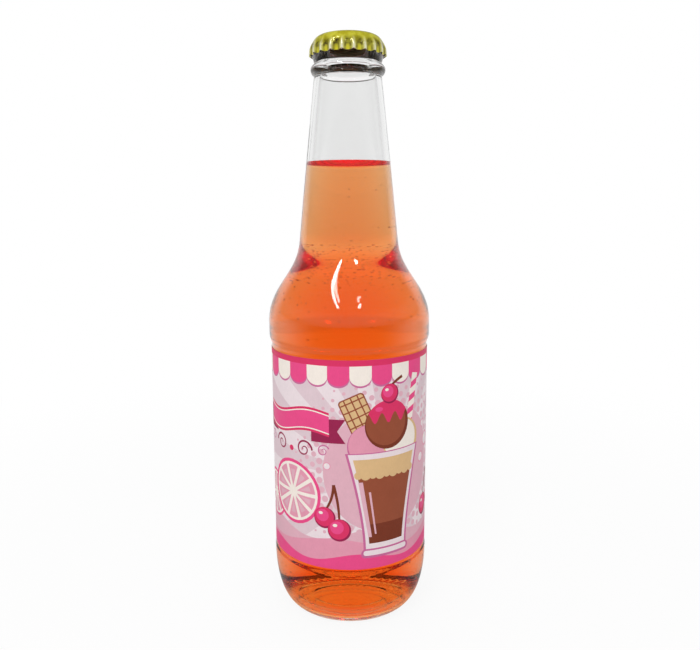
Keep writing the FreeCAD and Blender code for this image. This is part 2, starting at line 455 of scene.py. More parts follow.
class Shader:
    """A material with its Principled shader, and short ways to add nodes to it."""

    def __init__(self, name):
        self.material = bpy.data.materials.new(name)
        self.material.use_nodes = True
        self.tree = self.material.node_tree
        self.main = self.tree.nodes["Principled BSDF"]
        self.place = self.tree.nodes.new("ShaderNodeTexCoord").outputs["Object"]

    def set(self, **values):
        for name, value in values.items():
            self.main.inputs[name.replace("_", " ")].default_value = value

    def node(self, kind, **inputs):
        made = self.tree.nodes.new(kind)
        for name, value in inputs.items():
            feed(self.tree, made.inputs[name.replace("_", " ")], value)
        return made

    def link(self, output, name):
        self.tree.links.new(output, self.main.inputs[name])

    def noise(self, scale, detail=2.0, stretch=None):
        """Soft noise with about this many features to the metre."""
        place = self.place
        if stretch:
            place = self.node("ShaderNodeMapping", Vector=place, Scale=stretch).outputs["Vector"]
        return self.node("ShaderNodeTexNoise", Vector=place, Scale=scale, Detail=detail).outputs["Fac"]

    def ramp(self, value, low, high, first=0.0, last=1.0):
        """A number stretched from one range to another, and held at the ends."""
        return ranged(self.tree, value, (low, high), (first, last), "LINEAR")

    def math(self, operation, first, second):
        return calculated(self.tree, operation, first, second)

    def mix(self, share, first, second, blend="MIX"):
        return mixed_colours(self.tree, share, first, second, blend)

    def bump(self, height, distance, strength=1.0, normal=None):
        made = self.node("ShaderNodeBump", Height=height, Distance=distance, Strength=strength)
        if normal:
            self.tree.links.new(normal, made.inputs["Normal"])
        return made.outputs["Normal"]


WAVE_HEIGHT_M = 0.00006
PEEL_HEIGHT_M = 0.000004
# How much of half a ridge's width is scuffed in full
SCUFFED_SHARE = 0.4


def glass_material():
    """Clear flint glass: faint waves from the mould, and scuffs on the two contact ridges."""
    shader = Shader("clear_glass")
    shader.set(Base_Color=(0.996, 0.998, 0.996, 1), Transmission_Weight=1.0, IOR=1.5)
    waves = shader.noise(38, 1.0, stretch=(1, 1, 0.55))
    orange_peel = shader.noise(240, 2.0)
    rough = shader.bump(orange_peel, PEEL_HEIGHT_M)
    shader.link(shader.bump(waves, WAVE_HEIGHT_M, normal=rough), "Normal")
    height = shader.node("ShaderNodeSeparateXYZ", Vector=shader.place).outputs["Z"]
    half = (RIDGE_TOP - RIDGE_BASE) / 2 * MM
    bands = []
    for middle in ((RIDGE_BASE + RIDGE_TOP) / 2 * MM, HEEL_HEIGHT * MM):
        distance = shader.math("ABSOLUTE", shader.math("SUBTRACT", height, middle), 0.0)
        bands.append(shader.ramp(distance, half, half * SCUFFED_SHARE))
    on_ridge = shader.math("MAXIMUM", *bands)
    scuffs = shader.ramp(shader.noise(900, 4.0, stretch=(1, 1, 6)), 0.58, 0.72, 0.0, 0.16)
    shader.link(shader.math("MULTIPLY", on_ridge, scuffs), "Roughness")
    return shader.material


SODA_TINT = (0.998, 0.585, 0.062, 1)
SODA_DENSITY = 90.0


def soda_material():
    """A clear drink that swallows blue and most green along its depth."""
    shader = Shader("orange_soda")
    shader.set(Base_Color=(1, 1, 1, 1), Transmission_Weight=1.0, IOR=1.333, Roughness=0.0)
    depth = shader.node("ShaderNodeVolumeAbsorption", Color=SODA_TINT, Density=SODA_DENSITY)
    output = shader.tree.nodes["Material Output"]
    shader.tree.links.new(depth.outputs["Volume"], output.inputs["Volume"])
    return shader.material


def paper_material():
    """Coated label paper: printed inks, paper fibres and a faint sheen."""
    shader = Shader("printed_paper")
    ink = shader.tree.nodes.new("ShaderNodeVertexColor")
    ink.layer_name = "ink"
    fibres = shader.noise(2600, 3.0, stretch=(1, 1, 0.35))
    mottle = shader.noise(330, 3.0)
    fibre_tone = shader.ramp(fibres, 0.3, 0.7, 0.955, 1.0)
    mottle_tone = shader.ramp(mottle, 0.3, 0.7, -0.025, 0.02)
    tone = shader.math("ADD", fibre_tone, mottle_tone)
    grey = shader.node("ShaderNodeCombineColor", Red=tone, Green=tone, Blue=tone).outputs["Color"]
    shader.link(shader.mix(1.0, ink.outputs["Color"], grey, "MULTIPLY"), "Base Color")
    shader.link(shader.ramp(mottle, 0.3, 0.7, 0.44, 0.56), "Roughness")
    shader.link(shader.bump(fibres, 0.00001, 0.6), "Normal")
    shader.set(Specular_IOR_Level=0.3)
    return shader.material


def glue_material():
    """Dried casein glue, in the faint ribs that a glue roller leaves."""
    shader = Shader("label_glue")
    ribs = shader.noise(700, 2.0, stretch=(0.15, 0.15, 1.0))
    cream = shader.mix(shader.ramp(ribs, 0.35, 0.65), srgb(226, 214, 184), srgb(240, 232, 210))
    shader.link(cream, "Base Color")
    shader.link(shader.ramp(ribs, 0.3, 0.7, 0.35, 0.6), "Roughness")
    shader.link(shader.bump(ribs, 0.00002), "Normal")
    return shader.material


def crown_material():
    """Tinplate under gold lacquer: worn nearly white on the ridges, partly as a painted highlight, with
    painted shade inside and in the valleys and a painted highlight low in each valley.
    """
    shader = Shader("gold_lacquered_tinplate")
    # Marks made with the mesh: worn tin on the ridges that is partly a painted highlight, painted shade
    # inside the crown and in its valleys, and a painted highlight low in each valley
    wear_and_painted_light = shader.tree.nodes.new("ShaderNodeVertexColor")
    wear_and_painted_light.layer_name = "wear_and_painted_light"
    marks = shader.node("ShaderNodeSeparateColor", Color=wear_and_painted_light.outputs["Color"])
    rubbed_and_highlit = shader.ramp(shader.noise(1500, 4.0), 0.35, 0.6, 0.7, 1.0)
    rubbed_and_highlit = shader.math("MULTIPLY", rubbed_and_highlit, marks.outputs["Red"])
    patches = shader.ramp(shader.noise(850, 3.0), 0.38, 0.62, 0.55, 1.0)
    hollow_shade = shader.math("MULTIPLY", patches, marks.outputs["Blue"])
    hollow_glint = shader.math("MULTIPLY", patches, wear_and_painted_light.outputs["Alpha"])
    depth = shader.ramp(shader.noise(420, 4.0), 0.38, 0.62)
    gold = shader.mix(depth, srgb(242, 236, 76), srgb(208, 198, 40))
    # Painted shade: the valleys darkened to brown-olive
    gold = shader.mix(hollow_shade, gold, srgb(60, 48, 2))
    # Painted highlight: bright yellow low in each valley
    gold = shader.mix(hollow_glint, gold, srgb(226, 214, 26))
    # The ridges go nearly white: worn tin, and a painted highlight
    outside = shader.mix(rubbed_and_highlit, gold, srgb(255, 254, 232))
    # Painted shade: the crown's inside darkened to brown
    shader.link(shader.mix(marks.outputs["Green"], outside, srgb(74, 60, 34)), "Base Color")
    grain = shader.noise(1900, 3.0, stretch=(1, 0.1, 1))
    shader.link(shader.ramp(grain, 0.3, 0.7, 0.16, 0.27), "Roughness")
    shader.link(shader.bump(shader.noise(700, 2.0), 0.000012), "Normal")
    shader.set(Metallic=0.3, Coat_Weight=0.6, Coat_Roughness=0.06)
    return shader.material


def liner_material():
    """Soft amber sealing compound with a dull skin."""
    shader = Shader("liner_compound")
    cloud = shader.noise(420, 3.0)
    amber = shader.mix(shader.ramp(cloud, 0.3, 0.7), srgb(104, 84, 50), srgb(122, 100, 62))
    shader.link(amber, "Base Color")
    shader.link(shader.ramp(cloud, 0.3, 0.7, 0.5, 0.68), "Roughness")
    shader.link(shader.bump(shader.noise(2400, 3.0), 0.00001), "Normal")
    return shader.material


# Glass bottle

def moulded(radius, height, turns):
    """Knurls on the bearing ring, and the mould's two seams above and below the label."""
    knurl = 0.5 - 0.5 * np.cos(KNURL_COUNT * turns)
    on_ring = (height < GROUND_REACH) & (radius > BEARING_INNER) & (radius < BEARING_RADIUS)
    height = height + np.where(on_ring, KNURL_DEPTH * knurl, 0)
    segment = 2 * math.pi / GLASS_SEGMENTS
    off_seam = np.abs((turns - SEAM_ANGLE + math.pi / 2) % math.pi - math.pi / 2)
    on_seam = np.clip(1 - off_seam / segment, 0, 1)
    outside = radius > np.where(height > RIDGE_TOP, UPPER_SEAM_FROM, LOWER_SEAM_FROM)
    seamed = outside & (height < NECK_TOP) & ((height > RIDGE_TOP) | (height < HEEL_HEIGHT))
    return radius + np.where(seamed, SEAM_HEIGHT * on_seam, 0), height


def build_glass():
    """The bottle: its outside up to the lip, then its inside back down."""
    bore = [(BORE_RADIUS, LIP_TOP - (LIP_LAND_INNER - BORE_RADIUS)), (BORE_RADIUS, BORE_BASE)]
    inside = joined(cavity_face(0))[::-1]
    outline = followed(joined(outer_face() + [bore, inside]))
    points, faces = lathe(outline, GLASS_SEGMENTS, moulded)
    return add_piece("glass_bottle_looks", points, faces, glass_material(), "bottle", "glass_bottle")


# Drink

BUBBLE_SEED = 11
BUBBLE_GAP = 0.12
# The smallest bubble as a share of the largest, and how much of the floor's middle stays free
BUBBLE_SMALLEST = 0.45
BUBBLE_FREE_RADIUS = 4
# Each band of clinging bubbles has its lowest and highest place, its count and its largest radius.
BUBBLE_BANDS = (
    (6, 22, 120, 0.46),
    (22, 112, 50, 0.36),
    (114, 128, 300, 0.36),
    (126, 142, 420, 0.36),
    (142, 168, 40, 0.32),
)


def soda_outline():
    """The wetted cavity up to the meniscus, let a little into the glass, and the surface."""
    wetted = joined(cavity_face(-WETTING))
    wetted = wetted[wetted[:, 1] < FILL_LEVEL + MENISCUS_RISE]
    edge = wetted[-1][0]
    flat = edge - MENISCUS_RUN
    climb = bezier([
        (flat, FILL_LEVEL),
        (flat + MENISCUS_RUN * STEP_EASE, FILL_LEVEL),
        (edge, FILL_LEVEL + MENISCUS_RISE),
    ])[::-1]
    return wetted, joined([wetted, climb, [(0, FILL_LEVEL)]])


def bubble(centre, radius, first):
    """An inside-out ball: a hollow in the drink."""
    ball = bmesh.new()
    bmesh.ops.create_icosphere(ball, subdivisions=2, radius=radius)
    points = [tuple(np.array(v.co) + centre) for v in ball.verts]
    faces = [[first + v.index for v in reversed(f.verts)] for f in ball.faces]
    ball.free()
    return points, faces


def build_soda():
    """The drink, with small bubbles that cling to the glass."""
    wetted, outline = soda_outline()
    points, faces = lathe(followed(outline, SODA_ROUNDING), GLASS_SEGMENTS)
    chance = random.Random(BUBBLE_SEED)
    wall = followed(wetted)
    slopes = np.gradient(wall, axis=0)
    for low, high, count, largest in BUBBLE_BANDS:
        in_band = (wall[:, 1] > low) & (wall[:, 1] < high)
        rows = np.flatnonzero(in_band & (wall[:, 0] > BUBBLE_FREE_RADIUS))
        for _ in range(count):
            row = chance.choice(rows.tolist())
            radius = largest * (BUBBLE_SMALLEST + (1 - BUBBLE_SMALLEST) * chance.random() ** 2)
            # Most of them cling to the back wall.
            turn = math.pi / 2 + chance.triangular(-math.pi, math.pi, 0)
            along = slopes[row] / np.linalg.norm(slopes[row])
            inward = np.array([-along[1], along[0]]) * (radius + BUBBLE_GAP + WETTING)
            reach, height = wall[row] + inward
            centre = np.array([reach * math.cos(turn), reach * math.sin(turn), height])
            more_points, more_faces = bubble(centre, radius, len(points))
            points += more_points
            faces += more_faces
    return add_piece("soda_looks", points, faces, soda_material(), "bottle", "soda")


# Label artwork, in millimetres along the sheet (right is positive, 0 at the front) and up from its foot

HALF_SHEET = LABEL_WIDTH / 2
STRIP_WIDTH = 2.0
CUT_TOLERANCE = 0.0005
GLUE_STEPS = 150
INKS = {
    "ground": srgb(224, 201, 208),
    "pale": srgb(237, 222, 226),
    "cream": srgb(246, 236, 226),
    "blush": srgb(226, 176, 190),
    "pink": srgb(229, 152, 175),
    "hot": srgb(238, 72, 137),
    "strong": srgb(224, 44, 100),
    "magenta": srgb(158, 24, 78),
    "lilac": srgb(203, 104, 154),
    "brown": srgb(155, 78, 50),
    "cocoa": srgb(128, 54, 30),
    "tan": srgb(222, 184, 133),
    "paper": srgb(240, 236, 228),
}


class Artwork:
    """Flat shapes in printing order: each new one covers those before it."""

    def __init__(self):
        self.shapes = []

    def fill(self, ink, points):
        points = [tuple(p) for p in points]
        area = sum(a[0] * b[1] - b[0] * a[1] for a, b in zip(points, points[1:] + points[:1]))
        self.shapes.append((ink, points if area > 0 else points[::-1]))

    def disc(self, ink, u, v, radius, squash=1.0, sides=32):
        turns = np.linspace(0, 2 * math.pi, sides, endpoint=False)
        self.fill(ink, [around(u, v, radius, t, squash) for t in turns])

    def stroke(self, ink, path, width, taper=1.0):
        """A line of some width along points, narrowing to a share of it at its end."""
        path = np.array(path, float)
        along = np.gradient(path, axis=0)
        across = np.column_stack([-along[:, 1], along[:, 0]]) / np.linalg.norm(along, axis=1)[:, None]
        half = np.linspace(width / 2, width / 2 * taper, len(path))[:, None]
        self.fill(ink, np.vstack([path + across * half, (path - across * half)[::-1]]))

    def below(self, ink, curve):
        """Everything under a curve that runs the sheet's length."""
        us = np.linspace(-HALF_SHEET, HALF_SHEET, 100)
        self.fill(ink, [(-HALF_SHEET, 0), (HALF_SHEET, 0)] + [(u, curve(u)) for u in us[::-1]])

    def wedge(self, ink, u, v, radius, first, last, inner=0.0):
        turns = np.linspace(first, last, 10)
        rim = [around(u, v, radius, t) for t in turns]
        self.fill(ink, rim + [around(u, v, inner, (first + last) / 2)])


def turned_points(points, u, v, angle):
    cosine, sine = math.cos(angle), math.sin(angle)
    return [(u + x * cosine - y * sine, v + x * sine + y * cosine) for x, y in points]


def rounded_box(u, v, width, height, radius):
    points = []
    for k, (su, sv) in enumerate(((1, 1), (-1, 1), (-1, -1), (1, -1))):
        for turn in np.linspace(k * math.pi / 2, (k + 1) * math.pi / 2, 7):
            x = u + su * (width / 2 - radius) + radius * math.cos(turn)
            y = v + sv * (height / 2 - radius) + radius * math.sin(turn)
            points.append((x, y))
    return points


def citrus(art, u, v, radius, tilt=0.0):
    """A slice of pink citrus: rind, pith and ten segments."""
    art.disc("hot", u, v, radius)
    art.disc("cream", u, v, radius * 0.9)
    segments = 10
    gap = 0.07
    for k in range(segments):
        first = tilt + 2 * math.pi * k / segments
        last = first + 2 * math.pi / segments
        art.wedge("pink", u, v, radius * 0.82, first + gap, last - gap, radius * 0.16)
        art.wedge("blush", u, v, radius * 0.68, first + 2.6 * gap, last - 2.6 * gap, radius * 0.3)


def cherry(art, u, v, radius, stem_end, bend):
    middle = ((u + stem_end[0]) / 2 + bend, (v + stem_end[1]) / 2 + abs(bend) * 0.4)
    art.stroke("cocoa", bezier([(u, v + radius * 0.6), middle, stem_end], count=14), 0.8, 1.4)
    art.disc("magenta", u, v, radius)
    art.disc("strong", u - radius * 0.06, v + radius * 0.08, radius * 0.9)
    art.disc("hot", u - radius * 0.2, v + radius * 0.22, radius * 0.58)
    art.disc("cream", u - radius * 0.36, v + radius * 0.42, radius * 0.2, 0.7, 14)


def fizz(art, u, v, radius):
    art.disc("pink", u, v, radius, sides=22)
    art.disc("pale", u, v, radius * 0.78, sides=22)
    art.disc("cream", u - radius * 0.3, v + radius * 0.32, radius * 0.24, sides=12)


def curl(art, ink, u, v, size, hand, turn):
    """A tapering scroll, as on a shop-front ornament."""
    path = []
    for share in np.linspace(0, 1, 34):
        angle = share * 1.55 * 2 * math.pi
        reach = size * (1 - 0.9 * share)
        path.append((hand * reach * math.cos(angle), reach * math.sin(angle)))
    art.stroke(ink, turned_points(path, u, v, turn), size * 0.22, 0.4)


def backdrop(art, u, v):
    """Pale rays from behind the glass, and a ring of print dots that shrink outwards."""
    rays = 18
    far = 130.0
    for k in range(rays):
        first = 2 * math.pi * k / rays
        last = first + math.pi / rays
        art.fill("pale", [(u, v), around(u, v, far, first), around(u, v, far, last)])
    halo = 24.0
    art.disc("blush", u, v, halo, sides=64)
    rows = 5
    dots = 44
    for row in range(rows):
        reach = halo + 1.6 + 2.6 * row
        dot = 1.25 - 0.2 * row
        for k in range(dots):
            turn = 2 * math.pi * (k + 0.5 * (row % 2)) / dots
            art.disc("blush", *around(u, v, reach, turn), dot, sides=10)


def borders(art):
    """Waves along the foot and a scalloped awning along the top."""
    art.below("blush", lambda u: 13.5 + 2.2 * math.sin(u / 7.3 + 0.4))
    art.below("pink", lambda u: 9.6 + 2.4 * math.sin(u / 9.1 + 2.2))
    art.below("hot", lambda u: 4.4 + 1.6 * math.sin(u / 6.2 + 1.1))
    pitch = 7.98
    drop = 6.2
    band = 2.2
    half = pitch / 2
    turns = np.linspace(math.pi, 2 * math.pi, 16)
    count = math.ceil(HALF_SHEET / pitch)
    for k in range(-count, count):
        u = (k + 0.5) * pitch
        ink = "hot" if k % 2 else "cream"
        for shade, grow in (("lilac", 0.7), (ink, 0.0)):
            foot = LABEL_HEIGHT - drop - grow
            lobe = [around(u, foot, half, t, 0.8) for t in turns]
            art.fill(shade, lobe + [(u + half, LABEL_HEIGHT), (u - half, LABEL_HEIGHT)])
    top_edge = [(-HALF_SHEET, LABEL_HEIGHT), (HALF_SHEET, LABEL_HEIGHT)]
    art.fill("strong", top_edge + [(x, v - band) for x, v in reversed(top_edge)])


def float_glass(art, u):
    """A tall fountain glass with a dark drink, three scoops, a straw, a wafer and a cherry."""
    foot, rim = 8.5, 44.0

    def half_width(v):
        return 8.2 + 6.4 * max(0.0, (v - foot) / (rim - foot)) ** 1.5

    def body(low, high, inset):
        heights = np.linspace(low, high, 18)
        right = [(u + half_width(v) - inset, v) for v in heights]
        return right + [(2 * u - x, v) for x, v in reversed(right)]

    half = 1.7
    straw = [(-half, 0), (half, 0), (half, 46), (-half, 46)]
    lean = math.radians(-11)
    stand = (u + 5, 27)
    art.fill("cream", turned_points(straw, *stand, lean))
    for k in range(9):
        stripe = [(-half, 5 * k), (half, 5 * k + 2), (half, 5 * k + 4.4), (-half, 5 * k + 2.4)]
        art.fill("hot", turned_points(stripe, *stand, lean))
    wafer = (u - 9.5, 56, math.radians(24))
    art.fill("brown", turned_points(rounded_box(0, 0, 10, 22, 1.4), *wafer))
    art.fill("tan", turned_points(rounded_box(0, 0, 9, 21, 1), *wafer))
    groove = 0.25
    for k in range(-3, 4):
        low, high = 3 * k - groove, 3 * k + groove
        art.fill("brown", turned_points([(-4.5, low), (4.5, low), (4.5, high), (-4.5, high)], *wafer))
    for k in (-1, 0, 1):
        left, right = 2.6 * k - groove, 2.6 * k + groove
        bar = [(left, -10.5), (right, -10.5), (right, 10.5), (left, 10.5)]
        art.fill("brown", turned_points(bar, *wafer))
    scoops = (
        ("lilac", "pink", -6.6, 47.5, 8.4),
        ("tan", "cream", 7.0, 47.8, 8.6),
        ("cocoa", "brown", 0.6, 55.0, 9.2),
    )
    for shade, ink, du, v, radius in scoops:
        art.disc(shade, u + du, v, radius)
        art.disc(ink, u + du - 0.5, v + 0.5, radius - 0.9)
    middle, height, radius = u + scoops[-1][2], scoops[-1][3], scoops[-1][4]
    turns = np.linspace(0.5, math.pi - 0.5, 20)
    syrup = [around(middle, height, radius, t) for t in turns]
    for share in np.linspace(0, 1, 40):
        drip = 57.6 + 1.9 * math.cos(6 * math.pi * share)
        syrup.append((middle - 8.1 + 16.2 * share, drip))
    art.fill("strong", syrup)
    art.disc("hot", u - 3.2, 61.0, 1.5, 0.6, 16)
    cherry(art, u + 1.2, 66.4, 3.7, (u + 6.5, 72.2), -2.0)
    art.fill("lilac", body(foot - 1.4, rim + 1.0, -0.9))
    art.fill("pale", body(foot - 0.6, rim + 0.6, 0.0))
    art.fill("brown", body(foot + 1.4, rim - 2.4, 1.3))
    art.fill("cocoa", body(foot + 1.4, foot + 9.0, 1.3))
    art.fill("tan", body(rim - 7.6, rim - 1.4, 1.3))
    for k in range(9):
        art.disc("tan", u - 11 + 2.75 * k, rim - 7.4, 1.5 + 0.4 * (k % 2), sides=16)
    for du, low, high, width in ((-7.6, foot + 4, rim - 10, 1.7), (-4.9, foot + 5, rim - 14, 0.8)):
        base = u + du
        top = u + du * 1.45
        gleam = [(base + 0.2 * width, low), (base + width, low), (top + width, high), (top, high)]
        art.fill("blush", gleam)
    art.fill("lilac", rounded_box(u, 6.0, 20.0, 3.4, 1.6))
    art.fill("pale", rounded_box(u, 6.2, 18.2, 2.0, 0.9))


def ribbon(art, u, v, length, height):
    """A waving banner with folded tails, left blank."""
    def edge(x):
        return v + 1.5 * math.sin(x / length * 2 * math.pi)

    for side in (-1, 1):
        x = side * length / 2
        notch = [(x - side * 7, edge(x) - height * 0.75), (x + side * 6, edge(x) - height * 0.75),
                 (x + side * 3, edge(x) - height * 0.25), (x + side * 6, edge(x) + height * 0.25),
                 (x - side * 7, edge(x) + height * 0.25)]
        art.fill("magenta", [(u + a, b) for a, b in notch])
    xs = np.linspace(-length / 2, length / 2, 40)
    for ink, inset in (("strong", 0.0), ("cream", 0.9), ("hot", 1.35)):
        upper = [(u + x, edge(x) + height / 2 - inset) for x in xs]
        lower = [(u + x, edge(x) - height / 2 + inset) for x in xs]
        art.fill(ink, upper + lower[::-1])


# Where each printed bubble lies, and its radius
FRONT_FIZZ = (
    (33, 38, 2.2), (38, 44, 3.1), (34.5, 51, 1.6), (41, 54, 2.4), (37, 60, 1.5), (45, 38, 1.7),
    (-44, 38, 2.2), (-41, 46, 1.4), (-8.5, 40, 1.5), (-47, 50, 2.6), (48, 47, 1.9),
)
SIDE_FIZZ = ((-69, 29, 2.4), (-55, 44, 1.6), (-70, 61, 2), (-56, 57, 2.2), (-71, 37, 1.4))
GLASS_PLACE = 14.0
RIBBON_PLACE = -24.0


def draw_label():
    """A soda-fountain scene without words: fruit, a glass, a blank ribbon and a blank panel."""
    art = Artwork()
    backdrop(art, GLASS_PLACE, 38)
    borders(art)
    citrus(art, -37.5, 22.5, 9.5, 0.3)
    citrus(art, -23.5, 27.5, 12.6)
    cherry(art, -9.5, 20.0, 4.2, (-6.0, 33.0), 1.6)
    cherry(art, -4.0, 15.5, 4.4, (-6.0, 33.0), 1.2)
    cherry(art, 36.5, 17.5, 4.3, (41.0, 31.0), -1.4)
    cherry(art, 45.0, 19.0, 4.3, (41.0, 31.0), 1.4)
    ribbon(art, RIBBON_PLACE, 55.5, 33.0, 9.0)
    for hand in (-1, 1):
        curl(art, "magenta", RIBBON_PLACE + hand * 6.2, 45.2, 3.6, hand, 0.0)
        curl(art, "lilac", RIBBON_PLACE + hand * 14.2, 45.6, 2.4, hand, 0.4)
    art.disc("strong", RIBBON_PLACE, 44.4, 1.1, sides=16)
    float_glass(art, GLASS_PLACE)
    for u, v, radius in FRONT_FIZZ:
        fizz(art, u, v, radius)
    art.fill("strong", rounded_box(62, 43, 22, 42, 4))
    art.fill("cream", rounded_box(62, 43, 20.4, 40.4, 3.4))
    for u, v, radius in ((-58, 31, 8), (-66, 48, 7)):
        citrus(art, u, v, radius, u)
    for u, v, radius in SIDE_FIZZ:
        fizz(art, u, v, radius)
    return art.shapes


def sheet_point(u, v, radius):
    """A point of the flat sheet, wrapped round the bottle."""
    turn = -math.pi / 2 + u / PAPER_RADIUS
    return (radius * math.cos(turn), radius * math.sin(turn), LABEL_BASE + v)


def inside(points, outline):
    """Which points lie within a closed outline."""
    within = np.zeros(len(points), bool)
    for (ua, va), (ub, vb) in zip(outline, outline[1:] + outline[:1]):
        if va != vb:
            crosses = (va > points[:, 1]) != (vb > points[:, 1])
            within ^= crosses & (points[:, 0] < ua + (points[:, 1] - va) / (vb - va) * (ub - ua))
    return within


def printed_sheet(shapes):
    """The sheet cut along every printed outline: its corners, its triangles and the ink of each."""
    edges = np.linspace(-HALF_SHEET, HALF_SHEET, math.ceil(2 * HALF_SHEET / STRIP_WIDTH) + 1)
    strips = []
    for left, right in zip(edges[:-1], edges[1:]):
        strips.append([(left, 0), (right, 0), (right, LABEL_HEIGHT), (left, LABEL_HEIGHT)])
    corners = []
    outlines = []
    for outline in strips + [points for _, points in shapes]:
        outlines.append(list(range(len(corners), len(corners) + len(outline))))
        corners += [Vector(p) for p in outline]
    flat, _, triangles, _, _, _ = delaunay_2d_cdt(corners, [], outlines, 1, CUT_TOLERANCE)
    middles = np.array([sum((flat[c] for c in t), Vector((0, 0))) / 3 for t in triangles])
    on_sheet = np.abs(middles[:, 0]) < HALF_SHEET
    on_sheet &= (middles[:, 1] > 0) & (middles[:, 1] < LABEL_HEIGHT)
    triangles = [list(t) for t, kept in zip(triangles, on_sheet) if kept]
    middles = middles[on_sheet]
    inks = np.full(len(triangles), "ground", dtype=object)
    for ink, outline in shapes:
        low, high = np.min(outline, axis=0), np.max(outline, axis=0)
        near = np.flatnonzero(np.all((middles >= low) & (middles <= high), axis=1))
        inks[near[inside(middles[near], outline)]] = ink
    return flat, triangles, inks.tolist()


def build_label():
    """The paper sheet, printed outside and bare inside."""
    flat, triangles, inks = printed_sheet(draw_label())
    used = sorted({corner for triangle in triangles for corner in triangle})
    number = {corner: k for k, corner in enumerate(used)}
    triangles = [[number[c] for c in triangle] for triangle in triangles]
    count = len(used)
    points = [sheet_point(*flat[c], PAPER_RADIUS + PAPER) for c in used]
    points += [sheet_point(*flat[c], PAPER_RADIUS) for c in used]
    outward = [Vector((p[0], p[1], 0)).normalized() for p in points[:count]]
    faces = triangles + [[c + count for c in reversed(triangle)] for triangle in triangles]
    sides = {(a, b) for t in triangles for a, b in zip(t, t[1:] + t[:1])}
    faces += [[b, a, a + count, b + count] for a, b in sides if (b, a) not in sides]
    piece = add_piece("label_looks", points, faces, paper_material(), "bottle", "label")
    colours = piece.data.color_attributes.new("ink", "FLOAT_COLOR", "CORNER")
    inks = inks + ["paper"] * (len(faces) - len(triangles))
    values = []
    for face, ink in zip(faces, inks):
        values += INKS[ink] * len(face)
    colours.data.foreach_set("color", values)
    piece.data.normals_split_custom_set_from_vertices(outward + [-normal for normal in outward])
    return piece


def build_glue():
    """The film under the sheet, which stops short of its edges."""
    half_turn = (HALF_SHEET - GLUE_INSET) / PAPER_RADIUS
    low, high = LABEL_BASE + GLUE_INSET, LABEL_BASE + LABEL_HEIGHT - GLUE_INSET
    front = -math.pi / 2
    outer = GLUE_RADIUS + GLUE
    points, faces = slab(front - half_turn, front + half_turn, GLUE_RADIUS, outer, low, high, GLUE_STEPS)
    piece = add_piece("glue_looks", points, faces, glue_material(), "bottle", "label_adhesive")
    piece.data.polygons.foreach_set("use_smooth", [False] * len(faces))
    return piece


# Crown

def flute_share(turns):
    """1 along the outer edge of a flute, 0 in the hollow between two."""
    first_ridge = -math.pi / 2 + math.pi / FLUTES
    return ((1 + np.cos(FLUTES * (turns - first_ridge))) / 2) ** FLUTE_SHARPNESS


def flute_fade(height):
    """1 near the skirt's edge, 0 where the flutes run out."""
    share = np.clip(((height - SKIRT_EDGE) / FLUTE_HEIGHT - FLUTE_HOLD) / (1 - FLUTE_HOLD), 0, 1)
    return (1 - share) ** 2 * (1 + 2 * share)


def fluted(radius, height, turns):
    """Flutes that deepen towards the skirt's edge, which sits higher where a ridge leans out."""
    ridge = flute_share(turns)
    near_edge = np.clip(1 - (height - SKIRT_EDGE) / RIDGE_LIFT_REACH, 0, 1) ** 2
    return radius + FLUTE_DEPTH * flute_fade(height) * ridge, height + RIDGE_LIFT * near_edge * ridge


def crown_outline():
    """The tinplate's section: its inside from the middle down, then its outside back up."""
    corner = bezier(CEILING_POLES)
    along = np.gradient(corner, axis=0)
    along /= np.linalg.norm(along, axis=1)[:, None]
    outside = corner + np.column_stack([along[:, 1], -along[:, 0]]) * TIN
    outside[0] = (RING_RADIUS + CROWN_CLEARANCE + TIN, RING_TOP)
    outside[-1] = (LIP_LAND_OUTER, CROWN_TOP)
    side = RING_RADIUS + CROWN_CLEARANCE
    skirt = [(side, SKIRT_EDGE), (side + TIN, SKIRT_EDGE)]
    return joined([[(0, CROWN_CEILING)], corner[::-1], skirt, outside, [(0, CROWN_TOP)]])


def build_crown():
    """The tinplate, marked for the lacquer with its worn ridges (partly a painted highlight), painted
    shade inside and in the valleys, and a painted highlight low in each valley.
    """
    outline = followed(crown_outline(), CROWN_ROUNDING, CROWN_STEP)
    points, faces = lathe(outline, CROWN_SEGMENTS, fluted)
    piece = add_piece("crown_shell_looks", points, faces, crown_material(), "crown", "crown_shell")
    marks = piece.data.color_attributes.new("wear_and_painted_light", "FLOAT_COLOR", "POINT")
    places = np.array(points)
    turns = np.arctan2(places[:, 1], places[:, 0])
    ridge = flute_share(turns)
    above = places[:, 2] - SKIRT_EDGE
    # Worn tin on the ridges, partly a painted highlight
    wear_and_painted_light = ridge ** WEAR_AND_HIGHLIGHT_SHARPNESS * flute_fade(places[:, 2])
    across = ridge ** (1 / FLUTE_SHARPNESS)
    # A painted highlight low in each valley
    hollow_glint = np.exp(-(across / GLINT_REACH) ** 2) * np.interp(above, GLINT_HEIGHT, (1, 0))
    # Painted shade up each valley, clear of the painted highlight below it
    hollow = (1 - ridge) ** SHADED_HOLLOW_SHARPNESS * np.interp(above, SHADED_HOLLOW_HEIGHT, (1, 0)) - hollow_glint
    # Painted shade over the whole inside of the crown
    rings = np.arange(len(points)) // CROWN_SEGMENTS
    painted_shade_inside = (rings <= np.argmin(outline[1:-1, 1])).astype(float)
    painted_shade_inside[-2:] = (1, 0)
    values = np.column_stack([wear_and_painted_light, painted_shade_inside, np.clip(hollow, 0, 1), hollow_glint])
    marks.data.foreach_set("color", values.ravel())
    return piece


